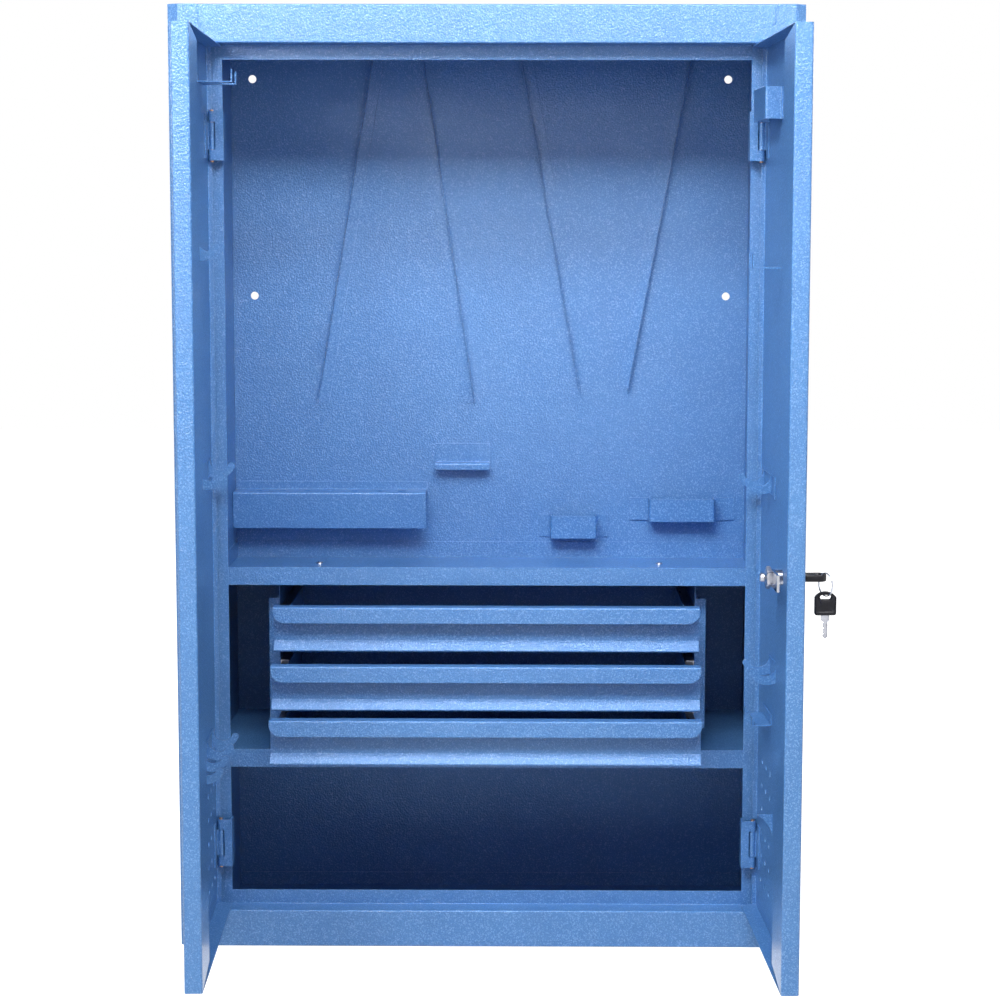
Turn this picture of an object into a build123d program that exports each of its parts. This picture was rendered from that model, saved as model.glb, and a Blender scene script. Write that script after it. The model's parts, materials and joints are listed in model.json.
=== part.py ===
from build123d import *
import math
import os

os.makedirs("parts", exist_ok=True)

# All sizes in millimetres. X runs to the right, Y to the back, Z up.
# While a piece is shaped, Y counts from the cabinet's front plane; save() moves it to the final frame.

# ---- overall size ----
WIDTH = 660.0
DEPTH = 228.0
HEIGHT = 1000.0

# ---- metal ----
SHEET = 1.0  # folded sheet
PLATE = 1.5  # hooks, racks and small brackets
FOLD = 0.8  # inside radius of a fold

# ---- carcass ----
JAMB = 35.5  # face of the frame beside the opening
BEVEL_X = 11.0
BEVEL_Y = 6.0
RAIL = 40.0  # face of the header and of the plinth
SEAM = 30.0  # from the outer side to the weld between rail and side panel
STOP_SET_BACK = 24.7  # door stop behind the front plane
STOP_SIDE = 18.1
STOP_END = 15.3
RAIL_FLANGE = 20.0
REAR_FLANGE = 15.0
LINER_INSET = 36.4
LINER_FLANGE = 12.0
WELD_PLAY = 0.1  # round the edges of the roof and floor sheets
WALL_HOLE = 9.0
WALL_HOLE_INSET = 60.4  # from the outer side
WALL_HOLE_DROP = 62.4  # from the top
WALL_HOLE_ROWS = 244.8  # between the two rows

SIDE = WIDTH / 2
OPENING = SIDE - JAMB  # half width of the door opening
STOP_EDGE = OPENING - STOP_SIDE
LINER = SIDE - LINER_INSET
BACK_WALL = DEPTH - SHEET
STOP_BACK = STOP_SET_BACK + SHEET
ROOF = HEIGHT - SHEET  # top of the roof sheet, under the header flange
WALL_HOLE_X = SIDE - WALL_HOLE_INSET
WALL_HOLE_LEVELS = (HEIGHT - WALL_HOLE_DROP - WALL_HOLE_ROWS, HEIGHT - WALL_HOLE_DROP)

# ---- shelves ----
MIDDLE_SHELF = 391.0
MIDDLE_LIP = 18.4
LOWER_SHELF = 210.8
LOWER_LIP = 19.8

# ---- notched hanging rails: x at the top, x and height at the bottom, side that carries the web ----
HANGING_RAILS = (
    (-127.2, -192.2, 570.0, -1),
    (-81.5, -24.0, 570.0, 1),
    (42.5, 108.8, 586.0, -1),
    (220.5, 152.0, 587.0, 1),
)
RAIL_TOP = HEIGHT - 45.0
RAIL_STRIP = 13.5
RAIL_WEB = 9.0
RAIL_OVERRUN = 22.0  # above the upper point
NOTCH_PITCH = 11.0
NOTCH_WIDTH = 4.0
NOTCH_DEPTH = 5.0

# ---- racks on the back wall: reach counts from the wall ----
LONG_RACK_GAP = 0.5  # to the left liner
LONG_RACK_LENGTH = 220.4
LONG_RACK_TOP = 470.0
LONG_RACK_REACH = 33.0
LONG_RACK_FACE = 41.3
LONG_RACK_FLANGE = 9.3
RACK_HOLES = 7
RACK_HOLE_START = 28.6  # first centre, from the rack's left end
RACK_HOLE_PITCH = 27.3
RACK_HOLE_REACH = 19.4
RACK_HOLE_FIRST = 7.0  # diameter, growing to the right
RACK_HOLE_LAST = 11.5
LEDGE = (-62.7, -0.6)
LEDGE_TOP = 501.8
LEDGE_REACH = 14.0
LEDGE_FACE = 7.8
LEDGE_FLANGE = 21.8
SMALL_LOOP = (56.0, 69.8, 122.7, 136.3)
SMALL_LOOP_BASE = 415.5
WIDE_LOOP = (161.0, 183.1, 258.3, 282.0)
WIDE_LOOP_BASE = 435.0
LOOP_REACH = 20.0
LOOP_HEIGHT = 26.0

# ---- doors ----
AXIS_FROM_JAMB = 8.0
AXIS_Y = 13.2  # hinge axis behind the front plane
AXIS_X = OPENING - AXIS_FROM_JAMB
DOOR_EDGE = 5.6  # hinge-side edge beyond the axis
DOOR_FACE = 6.5  # outer face in front of the axis
DOOR_THICK = 17.6
DOOR_GAP = 2.0  # between the doors, and above and below them
DOOR_FOLD = 1.5
HINGE_RETURN = 5.0
DOOR_LIP = 62.0
LIP_CORNER = 12.0  # rise of the slanted lower corner of the lip
DOOR_FREE = AXIS_X - DOOR_GAP / 2  # free edge, from the axis
DOOR_BACK = DOOR_FACE - DOOR_THICK  # back of the lip, from the axis
DOOR_INNER = DOOR_FACE - SHEET
DOOR_BASE = RAIL + DOOR_GAP
DOOR_TOP = HEIGHT - RAIL - DOOR_GAP
LEFT_OPEN = 88.18  # degrees open at rest
RIGHT_OPEN = 92.22

# ---- punched holes in the doors: distance from the hinge edge, lowest height, columns and rows ----
PUNCH = 6.0
PUNCH_PITCH = 25.6
PUNCH_COLUMN_PITCH = 27.5
RIGHT_LOW_PUNCHES = (34.0, 80.5, 3, 6)
RIGHT_HIGH_PUNCHES = (130.0, HEIGHT - 212.0, 1, 6)
LEFT_LOW_PUNCHES = (19.5, 76.5, 3, 5)

# ---- concealed pin hinges ----
HINGE_LEVELS = (111.0, HEIGHT - 134.5)  # mid height
HINGE_HEIGHT = 51.0
HINGE_WINDOW = 28.6
EYE_RADIUS = 3.5
PIN_RADIUS = 2.0
PIN_OVERRUN = 1.5
TALL_PIN = 12.5  # the upper right pin stands proud of its bracket
PIN_PLAY = 0.05
KNUCKLE_RADIUS = 3.3
KNUCKLE_PLAY = 0.3  # above and below the knuckle
WINDOW_FROM_AXIS = 4.1
BRACKET_WALL = 2.4
LEAF = 1.5
LEAF_START = 3.0  # along the door, from its hinge edge
LEAF_END = 25.0
LEAF_HEIGHT = 46.0

# ---- drawers ----
CHASSIS_INSET = 105.0
CHASSIS = SIDE - CHASSIS_INSET  # inner face of the chassis plates
CHASSIS_FRONT = 56.0
CHASSIS_FLANGE = 11.0
CHASSIS_BASE = 228.0
CHASSIS_FLANGE_TOP = MIDDLE_SHELF - 20.0
CHASSIS_HANGER = 45.0
CHASSIS_BACK_GAP = 5.0
RIVET_X = 32.0  # from the chassis plate inwards
RIVET_Y = (95.0, 178.0)
RIVET_RADIUS = 4.0
RIVET_CROWN = 2.6
RIVET_HEAD = 1.6
RIVET_SHANK = 1.6
DRAWER_TOPS = (MIDDLE_SHELF - 19.0, MIDDLE_SHELF - 77.2, MIDDLE_SHELF - 130.5)
DRAWER_OUT = (50.9, 77.6, 98.1)  # how far each drawer stands open at rest
DRAWER_FRONT = 49.2
DRAWER_OVERLAP = 0.5  # front beyond the inner face of the chassis plate
DRAWER_GAP = 0.5  # between the front sheet and the chassis
PULL_REACH = 15.0
PULL_FACE = 17.0
PULL_CORNER = 12.0
BAND_RISE = 11.4
BAND_REACH = 7.5
BOX_BELOW = 6.0  # from the top of the front to the top of the box
BOX_ABOVE = 2.5
SLIDE = 12.7  # room for a slide on each side
SLIDE_HALF = 13.5
SLIDE_METAL = 1.2
SLIDE_PLAY = 0.4
SLIDE_FLANGES = (9.0, 10.5, 8.7)  # fixed, middle and drawer members

# ---- cradle hooks: arms' places from the hinge edge, height of the finger tip, reach from the door ----
LEFT_UPPER_CRADLE = ((106.0, 158.0), HEIGHT - 245.0, 28.0)
LEFT_MIDDLE_CRADLE = ((30.0, 132.0), 526.0, 28.0)
LEFT_LOWER_CRADLE = ((30.0, 81.0, 132.0, 184.0), 237.0, 28.5)
RIGHT_UPPER_CRADLE = ((22.0, 72.0), 515.5, 28.5)
RIGHT_LOWER_CRADLE = ((80.0, 130.0), 328.0, 29.0)
CRADLE_SLOT = 26.0
CRADLE_DIP = 8.0  # lowest point of the hollow below the finger tip
FINGER = 7.5
CRADLE_ROOT = 15.0  # tip to the bottom of the root
CRADLE_HORN = 2.0  # top of the root above the tip
STRIP_ABOVE = 4.0
STRIP_BELOW = 19.0
STRIP_MARGIN = 5.0
LANCE = 0.5  # cut round a lanced arm
BELLY = 0.8  # the arm's underside passes through this share of its reach and of its root

# ---- prong hooks: start and end from the hinge edge, level, reach, plate, prong rise, wall flange ----
LEFT_PRONG_HOOK = (47.0, 93.0, HEIGHT - 83.0, 36.0, 22.0, 11.5, 14.0)
RIGHT_PRONG_HOOK = (130.0, 165.0, HEIGHT - 267.0, 35.0, 22.0, 13.0, 12.0)
RIGHT_RAIL_BRACKET = (38.0, 98.0, 262.5, 20.4, 16.0, 6.5, 10.0)
PRONG = 6.0

# ---- strap bracket and gusset on the right door ----
STRAP = (30.0, 110.0)  # from the hinge edge
STRAP_BASE = HEIGHT - 121.0
STRAP_HEIGHT = 32.0
STRAP_REACH = 16.0
STRAP_FOOT = 4.5
GUSSET_PLACE = 112.0  # from the hinge edge
GUSSET_BASE = 149.0
GUSSET_HEIGHT = 23.0
GUSSET_REACH = 16.0
GUSSET_HOLLOW = (0.4, 0.6)  # shares of reach and height where its curved edge passes

# ---- lock, at rest with its key turned level ----
LOCK_INSET = 32.1  # from the free edge
LOCK_ALONG = DOOR_FREE - LOCK_INSET  # from the hinge axis
LOCK_LEVEL = 441.5
LOCK_HEAD = 10.0
LOCK_HEAD_THICK = 1.5
LOCK_BODY = 8.0
LOCK_PROUD = 8.0  # body behind the lip
PLUG_RADIUS = 5.5
PLUG_PLAY = 0.05
TAIL_RADIUS = 4.0
CAM_GAP = 0.3
CAM_THICK = 2.4
CAM_REACH = 40.0
CAM_WIDTH = 16.0
LOCK_NUT = 11.0
LOCK_NUT_THICK = 4.6
CAM_SCREW_HEAD = 4.25
CAM_SCREW_THICK = 4.0
CAM_SCREW_NECK = 1.6  # bare shank between the nut and the head
CAM_SCREW_RADIUS = 2.0
CAM_SCREW_LENGTH = 9.0
KEY_BOW_LENGTH = 22.8
KEY_BOW_WIDTH = 20.7
KEY_ARCH = 5.4  # rise of the bow's rounded end
KEY_BOW_THICK = 6.0
KEY_OFFSET = 13.3  # bow centre in front of the door face
KEY_EYE = (10.8, 4.4)  # slot for the ring, across the bow
KEY_EYE_OFFSET = 6.1
KEY_SHOULDER = (5.0, 7.4)  # length and width of the blade's root
KEY_BLADE = (22.3, 4.6, 2.0)
KEYWAY_PLAY = 0.1
RING_RADIUS = 11.0
RING_WIRE = 1.2
RING_TURN = 64.0  # degrees between the key and the plane of the ring
RING_OUT = 8.2
RING_DROP = 5.9
SPARE_DROP = 0.9  # spare key's eye centre below the lowest point of the ring


# ---------------------------------------------------------------- shared shapes
def block(x0, x1, y0, y1, z0, z1):
    """Box between two opposite corners."""
    centre = Pos((x0 + x1) / 2, (y0 + y1) / 2, (z0 + z1) / 2)
    return centre * Box(abs(x1 - x0), abs(y1 - y0), abs(z1 - z0))


def rod(radius, start, length, direction):
    """Solid cylinder from a point along a direction."""
    return extrude(Plane(start, z_dir=direction) * Circle(radius), length)


def skins(points, thickness):
    """Unit runs of a folded path and the path of its other skin, to the left."""
    runs = [(b - a).normalized() for a, b in zip(points, points[1:])]
    left = [Vector(-run.Y, run.X) for run in runs]
    other = [points[0] + left[0] * thickness]
    for i in range(1, len(runs)):
        both = left[i - 1] + left[i]
        other.append(points[i] + both * (thickness / (1 + left[i - 1].dot(left[i]))))
    other.append(points[-1] + left[-1] * thickness)
    return runs, other


def folded(*path, thickness=SHEET, fold=FOLD):
    """Section of a folded sheet: the path is one skin, the metal lies to its left (right if negative)."""
    points = [Vector(*p) for p in path]
    runs, other = skins(points, thickness)
    skin_radii = [0.0]
    other_radii = [0.0]
    for before, after in zip(runs, runs[1:]):
        wraps = (before.cross(after).Z > 0) == (thickness > 0)
        skin_radii.append(fold + abs(thickness) if wraps else fold)
        other_radii.append(fold if wraps else fold + abs(thickness))
    skin_radii.append(0.0)
    other_radii.append(0.0)
    outline = FilletPolyline(*points, *reversed(other), radius=skin_radii + other_radii[::-1], close=True)
    return make_face(outline)


def along_x(section, x0, x1):
    """Section drawn as (y, z), extruded between two x positions."""
    return extrude(Plane.YZ.offset(x0) * section, x1 - x0)


def along_z(section, z0, z1):
    """Section drawn as (x, y), extruded between two heights."""
    return extrude(Pos(0, 0, z0) * section, z1 - z0)


def both_sides(shape):
    """The shape and its mirror image across the middle of the cabinet."""
    return [shape, mirror(shape, about=Plane.YZ)]


def save(name, *shapes):
    """Write one piece, or one group of like pieces, in the cabinet's own frame."""
    placed = [Pos(0, -DEPTH / 2, 0) * shape for shape in shapes]
    whole = placed[0] if len(placed) == 1 else Compound(children=placed)
    export_step(whole, f"parts/{name}.step")


# ---------------------------------------------------------------- carcass
def side_path():
    """Outer skin of the right side panel in plan, from the door stop round to the rear flange."""
    return (
        (STOP_EDGE, STOP_SET_BACK),
        (OPENING, STOP_SET_BACK),
        (OPENING, 0),
        (SIDE - BEVEL_X, 0),
        (SIDE, BEVEL_Y),
        (SIDE, BACK_WALL),
        (SIDE - REAR_FLANGE, BACK_WALL),
    )


def side_panel():
    panel = along_z(folded(*side_path()), 0, HEIGHT)
    seam = SIDE - SEAM
    for low, high in ((0, RAIL), (HEIGHT - RAIL, HEIGHT)):
        panel -= block(STOP_EDGE - SHEET, seam, -SHEET, STOP_BACK + SHEET, low, high)
    return panel


def side_liner():
    path = (
        (LINER + LINER_FLANGE, BACK_WALL),
        (LINER, BACK_WALL),
        (LINER, STOP_BACK),
        (LINER + LINER_FLANGE, STOP_BACK),
    )
    return along_z(folded(*path), SHEET, ROOF - SHEET)


def rail(path, stop_low, stop_high):
    """Header or plinth: folded between the weld seams, its stop lip only inside the opening."""
    seam = SIDE - SEAM
    body = along_x(folded(*path), -seam, seam)
    for side in (-1, 1):
        body -= block(
            side * STOP_EDGE, side * SIDE, STOP_SET_BACK - SHEET, STOP_BACK + SHEET, stop_low, stop_high
        )
    return body


def header_rail():
    low = HEIGHT - RAIL
    path = (
        (RAIL_FLANGE, HEIGHT),
        (0, HEIGHT),
        (0, low),
        (STOP_SET_BACK, low),
        (STOP_SET_BACK, low - STOP_END),
    )
    return rail(path, low - STOP_END - SHEET, low)


def plinth_rail():
    path = (
        (STOP_SET_BACK, RAIL + STOP_END),
        (STOP_SET_BACK, RAIL),
        (0, RAIL),
        (0, 0),
        (RAIL_FLANGE, 0),
    )
    return rail(path, RAIL, RAIL + STOP_END + SHEET)


def cover(z0, z1, front):
    """Roof or floor sheet cut to the inside of the side panels."""
    sheet = along_z(inner_plan(), z0, z1)
    return sheet & block(-SIDE, SIDE, front, BACK_WALL, z0, z1)


def inner_plan():
    """Plan of the space inside the side panels."""
    _, inside = skins([Vector(*p) for p in side_path()], SHEET + WELD_PLAY)
    corner, shoulder = inside[3], inside[4]
    notch = BACK_WALL - SHEET
    step = SIDE - REAR_FLANGE
    right = [Vector(0, corner.Y), corner, shoulder]
    right += [Vector(shoulder.X, notch - FOLD), Vector(shoulder.X - FOLD, notch)]
    right += [Vector(step, notch), Vector(step, BACK_WALL)]
    left = [Vector(-p.X, p.Y) for p in reversed(right[1:])]
    return make_face(Polyline(*right, *left, close=True))


def roof_panel():
    sheet = cover(ROOF - SHEET, ROOF, SHEET + FOLD)
    flange_z = ROOF - SHEET - REAR_FLANGE
    hem = block(-LINER, LINER, BACK_WALL - SHEET, BACK_WALL, flange_z, ROOF - SHEET)
    return sheet + hem


def floor_panel():
    sheet = cover(0, SHEET, RAIL_FLANGE)
    hem = block(-LINER, LINER, BACK_WALL - SHEET, BACK_WALL, SHEET, SHEET + REAR_FLANGE)
    return sheet + hem


def back_panel():
    panel = block(-SIDE + SHEET, SIDE - SHEET, BACK_WALL, DEPTH, 0, HEIGHT)
    for x in (-WALL_HOLE_X, WALL_HOLE_X):
        for z in WALL_HOLE_LEVELS:
            panel -= rod(WALL_HOLE / 2, (x, BACK_WALL - SHEET, z), 3 * SHEET, (0, 1, 0))
    return panel


def tray(z0, z1, pocket0, pocket1):
    """Shelf with four flanges, between the liners, the door stop and the back wall."""
    outer = block(-LINER, LINER, STOP_BACK, BACK_WALL, z0, z1)
    edge = LINER - SHEET
    return outer - block(-edge, edge, STOP_BACK + SHEET, BACK_WALL - SHEET, pocket0, pocket1)


def middle_shelf():
    base = MIDDLE_SHELF - SHEET
    shelf = tray(base, MIDDLE_SHELF + MIDDLE_LIP, MIDDLE_SHELF, MIDDLE_SHELF + MIDDLE_LIP)
    for x, y in rivet_places():
        shelf -= rod(RIVET_SHANK, (x, y, base - SHEET), 3 * SHEET, (0, 0, 1))
    return shelf


def lower_shelf():
    return tray(LOWER_SHELF - LOWER_LIP, LOWER_SHELF, LOWER_SHELF - LOWER_LIP, LOWER_SHELF - SHEET)


# ---------------------------------------------------------------- back wall fittings
def notched_web(length):
    """Comb outline as (distance along, height off the wall)."""
    web = Pos(length / 2, RAIL_WEB / 2) * Rectangle(length, RAIL_WEB)
    count = int(length / NOTCH_PITCH)
    slot = Rectangle(NOTCH_WIDTH, NOTCH_DEPTH)
    places = [(NOTCH_PITCH * (i + 0.5), RAIL_WEB - NOTCH_DEPTH / 2) for i in range(count)]
    return web - [Pos(x, y) * slot for x, y in places]


def hanging_rail(x_top, x_low, z_low, web_side):
    """Slanted strip on the back wall with a notched web standing along one edge."""
    low = Vector(x_low, BACK_WALL, z_low)
    rise = Vector(x_top, BACK_WALL, RAIL_TOP) - low
    length = rise.length + RAIL_OVERRUN
    face = Plane(low, x_dir=rise, z_dir=rise.cross(Vector(0, -1, 0)))
    half = RAIL_STRIP / 2
    edge = half - SHEET if web_side > 0 else -half
    strip = extrude(face.offset(-half) * Pos(length / 2, SHEET / 2) * Rectangle(length, SHEET), RAIL_STRIP)
    return strip + extrude(face.offset(edge) * notched_web(length), SHEET)


def wall_rack(x0, x1, top, reach, face, flange):
    """Folded rack: wall flange, shelf and turned-down face."""
    path = (
        (BACK_WALL - PLATE, top + flange),
        (BACK_WALL - PLATE, top),
        (BACK_WALL - reach, top),
        (BACK_WALL - reach, top - face),
    )
    return along_x(folded(*path, thickness=PLATE), x0, x1)


def long_tool_rack():
    """Rack with a row of round holes that grow to the right."""
    start = -LINER + LONG_RACK_GAP
    rack = wall_rack(
        start, start + LONG_RACK_LENGTH, LONG_RACK_TOP, LONG_RACK_REACH, LONG_RACK_FACE, LONG_RACK_FLANGE
    )
    growth = (RACK_HOLE_LAST - RACK_HOLE_FIRST) / (RACK_HOLES - 1)
    for i in range(RACK_HOLES):
        radius = (RACK_HOLE_FIRST + growth * i) / 2
        x = start + RACK_HOLE_START + RACK_HOLE_PITCH * i
        rack -= rod(radius, (x, BACK_WALL - RACK_HOLE_REACH, LONG_RACK_TOP - 2 * PLATE), 3 * PLATE, (0, 0, 1))
    return rack


def centre_tool_ledge():
    return wall_rack(*LEDGE, LEDGE_TOP, LEDGE_REACH, LEDGE_FACE, LEDGE_FLANGE)


def tool_loop(xs, base):
    """Strap held off the wall by two ears."""
    ear0, bend0, bend1, ear1 = xs
    out = BACK_WALL - LOOP_REACH
    path = (
        (ear0, BACK_WALL - PLATE),
        (bend0, BACK_WALL - PLATE),
        (bend0, out),
        (bend1, out),
        (bend1, BACK_WALL - PLATE),
        (ear1, BACK_WALL - PLATE),
    )
    return along_z(folded(*path, thickness=PLATE), base, base + LOOP_HEIGHT)


# ---------------------------------------------------------------- hinges
def hinge_bracket(level):
    """Bracket on the right stop strip: front wall, side wall and two eyes round the pin."""
    z0 = level - HINGE_HEIGHT / 2
    z1 = level + HINGE_HEIGHT / 2
    front = AXIS_Y - EYE_RADIUS
    inner = STOP_EDGE - BRACKET_WALL
    body = block(inner, AXIS_X, front, front + BRACKET_WALL, z0, z1)
    body += block(inner, STOP_EDGE, front, STOP_BACK, z0, z1)
    body += rod(EYE_RADIUS, (AXIS_X, AXIS_Y, z0), HINGE_HEIGHT, (0, 0, 1))
    window = HINGE_WINDOW / 2
    edge = AXIS_X - WINDOW_FROM_AXIS
    body -= block(edge, AXIS_X + 2 * EYE_RADIUS, 0, STOP_SET_BACK, level - window, level + window)
    return body - rod(PIN_RADIUS, (AXIS_X, AXIS_Y, z0 - PLATE), HINGE_HEIGHT + 2 * PLATE, (0, 0, 1))


def hinge_pin(level, proud):
    start = level - HINGE_HEIGHT / 2 - PIN_OVERRUN
    return rod(PIN_RADIUS, (AXIS_X, AXIS_Y, start), HINGE_HEIGHT + PIN_OVERRUN + proud, (0, 0, 1))


def hinge_leaf(level):
    """Leaf in the door's frame: plate on the door and a knuckle on the axis."""
    half = HINGE_WINDOW / 2 - KNUCKLE_PLAY
    z0, z1 = level - half, level + half
    start = LEAF_START - DOOR_EDGE
    end = LEAF_END - DOOR_EDGE
    plate = block(
        WINDOW_FROM_AXIS, end, DOOR_INNER - LEAF, DOOR_INNER, level - LEAF_HEIGHT / 2, level + LEAF_HEIGHT / 2
    )
    plate += block(start, WINDOW_FROM_AXIS, DOOR_INNER - LEAF, DOOR_INNER, z0, z1)
    neck = block(-PIN_RADIUS, PIN_RADIUS, 0, DOOR_INNER - LEAF, z0, z1)
    knuckle = rod(KNUCKLE_RADIUS, (0, 0, z0), z1 - z0, (0, 0, 1))
    bore = rod(PIN_RADIUS + PIN_PLAY, (0, 0, z0 - PLATE), z1 - z0 + 2 * PLATE, (0, 0, 1))
    return plate + (neck + knuckle - bore)


# ---------------------------------------------------------------- doors, in a frame on the hinge axis:
# x along the door to its free edge, y towards its outer face
def hang(shape, side):
    """Turn a door piece from its own frame to its place at rest."""
    opened = RIGHT_OPEN if side == "right" else LEFT_OPEN
    placed = Pos(AXIS_X, AXIS_Y, 0) * Rot(0, 0, 180 + opened) * shape
    return placed if side == "right" else mirror(placed, about=Plane.YZ)


def door_panel(*punches):
    """Pan door: face, hinge-side return, top and bottom flanges, and a deep lip at the free edge."""
    path = (
        (DOOR_FREE - DOOR_LIP, DOOR_BACK),
        (DOOR_FREE, DOOR_BACK),
        (DOOR_FREE, DOOR_FACE),
        (-DOOR_EDGE, DOOR_FACE),
        (-DOOR_EDGE, DOOR_INNER - HINGE_RETURN),
    )
    door = along_z(folded(*path, fold=DOOR_FOLD), DOOR_BASE, DOOR_TOP)
    for low in (DOOR_BASE, DOOR_TOP - SHEET):
        door += along_z(end_flange(), low, low + SHEET)
    for level in HINGE_LEVELS:
        half = HINGE_HEIGHT / 2 + PLATE
        door -= block(-2 * DOOR_EDGE, DOOR_EDGE, -DOOR_FACE, DOOR_INNER - SHEET, level - half, level + half)
    door -= lip_corner(DOOR_BASE, 1) + lip_corner(DOOR_TOP, -1)
    return door - [hole for spec in punches for hole in punched_holes(*spec)]


def punched_holes(u, z, columns, rows):
    """Cutters for a grid of holes; u and z place the lowest hole nearest the hinge."""
    return [
        rod(
            PUNCH / 2,
            (u + PUNCH_COLUMN_PITCH * i - DOOR_EDGE, DOOR_INNER - SHEET, z + PUNCH_PITCH * j),
            3 * SHEET,
            (0, 1, 0),
        )
        for i in range(columns)
        for j in range(rows)
    ]


def end_flange():
    """Plan of a top or bottom flange, slanted near the hinge to turn clear of the stop."""
    toe = -DOOR_EDGE + SHEET
    outline = Polyline(
        (toe, DOOR_INNER),
        (toe, DOOR_INNER - HINGE_RETURN),
        (-SHEET / 2, DOOR_BACK),
        (DOOR_FREE - SHEET, DOOR_BACK),
        (DOOR_FREE - SHEET, DOOR_INNER),
        close=True,
    )
    return make_face(outline)


def lip_corner(level, rise):
    """Wedge that slants the corner of the lip at its inner edge."""
    inner = DOOR_FREE - DOOR_LIP
    outline = Polyline(
        (inner - SHEET, level + rise * SHEET),
        (inner - SHEET, level + rise * LIP_CORNER),
        (inner, level + rise * LIP_CORNER),
        (DOOR_FREE - 2 * SHEET, level + rise * SHEET),
        close=True,
    )
    wedge = Plane((0, DOOR_BACK - SHEET, 0), x_dir=(1, 0, 0), z_dir=(0, -1, 0)) * make_face(outline)
    return extrude(wedge, -(2 * SHEET + SHEET / 2))


def right_door():
    return door_panel(RIGHT_LOW_PUNCHES, RIGHT_HIGH_PUNCHES) - lock_bore()


def left_door():
    return door_panel(LEFT_LOW_PUNCHES)


# ---------------------------------------------------------------- hooks, in a frame on the door's inner face:
# x along the door from its hinge edge, -y away from the sheet
def on_door(shape, side):
    return hang(Pos(-DOOR_EDGE, DOOR_INNER, 0) * shape, side)


def cradle_section(reach):
    """Arm outline as (away from the door, height), the finger tip at height 0."""
    shoulder = -FINGER / 2
    inner = reach - FINGER
    outline = [
        Line((0, -CRADLE_ROOT), (0, CRADLE_HORN)),
        ThreePointArc((0, CRADLE_HORN), (inner / 2, -CRADLE_DIP), (inner, shoulder)),
        ThreePointArc((inner, shoulder), (reach - FINGER / 2, 0), (reach, shoulder)),
        ThreePointArc((reach, shoulder), (reach * BELLY, -CRADLE_ROOT * BELLY), (0, -CRADLE_ROOT)),
    ]
    return make_face(outline)


def cradle(places, tip, reach):
    """Row of arms lanced from one base strip."""
    base = tip - STRIP_BELOW
    start = min(places) - STRIP_MARGIN
    end = max(places) + CRADLE_SLOT + STRIP_MARGIN
    strip = block(start, end, -PLATE, 0, base, tip + STRIP_ABOVE)
    low = tip - CRADLE_ROOT - LANCE
    arms = []
    for place in places:
        strip -= block(place + PLATE, place + CRADLE_SLOT, -2 * PLATE, PLATE, low, tip + CRADLE_HORN + LANCE)
        side_on = Plane((place + PLATE, -PLATE, tip), x_dir=(0, -1, 0), z_dir=(-1, 0, 0))
        arms.append(extrude(side_on * cradle_section(reach - PLATE), PLATE))
    return strip + arms


def prong_hook(start, end, level, reach, plate, rise, base):
    """Level plate with a wall flange and two upturned prongs at its ends."""
    path = ((0, level + base), (0, level - PLATE), (-plate, level - PLATE))
    hook = along_x(folded(*path, thickness=-PLATE), start, end)
    for x in (start, end - PRONG):
        hook += block(x, x + PRONG, -reach, -plate, level - PLATE, level)
        hook += block(x, x + PRONG, -reach, -reach + PLATE, level - PLATE, level + rise)
    return hook


def strap_bracket():
    """Strap held off the door by two feet."""
    start, end = STRAP
    path = (
        (end + STRAP_FOOT, 0),
        (end, 0),
        (end, -STRAP_REACH),
        (start, -STRAP_REACH),
        (start, 0),
        (start - STRAP_FOOT, 0),
    )
    return along_z(folded(*path, thickness=PLATE), STRAP_BASE, STRAP_BASE + STRAP_HEIGHT)


def gusset():
    """Curved triangular plate standing on the door."""
    top = GUSSET_BASE + GUSSET_HEIGHT
    along, up = GUSSET_HOLLOW
    hollow = (GUSSET_REACH * along, GUSSET_BASE + GUSSET_HEIGHT * up)
    outline = [
        Line((0, GUSSET_BASE), (0, top)),
        Line((0, top), (GUSSET_REACH, top)),
        ThreePointArc((GUSSET_REACH, top), hollow, (0, GUSSET_BASE)),
    ]
    plane = Plane((GUSSET_PLACE + PLATE / 2, 0, 0), x_dir=(0, -1, 0), z_dir=(-1, 0, 0))
    return extrude(plane * make_face(outline), PLATE)


# ---------------------------------------------------------------- lock, in the door's frame
def lock_rod(radius, start, length):
    """Cylinder on the lock's axis; start counts inwards from the door's outer face."""
    return rod(radius, (LOCK_ALONG, DOOR_FACE - start, LOCK_LEVEL), length, (0, -1, 0))


def lock_bore():
    return lock_rod(LOCK_BODY, -SHEET, DOOR_THICK + 2 * SHEET)


def lock_end():
    """Inner end of the lock body, inwards from the door's outer face."""
    return DOOR_THICK + LOCK_PROUD


def lock_housing():
    body = lock_rod(LOCK_BODY, 0, lock_end()) + lock_rod(LOCK_HEAD, -LOCK_HEAD_THICK, LOCK_HEAD_THICK)
    return body - lock_rod(PLUG_RADIUS + PLUG_PLAY, -2 * LOCK_HEAD_THICK, lock_end() + 3 * LOCK_HEAD_THICK)


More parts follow.
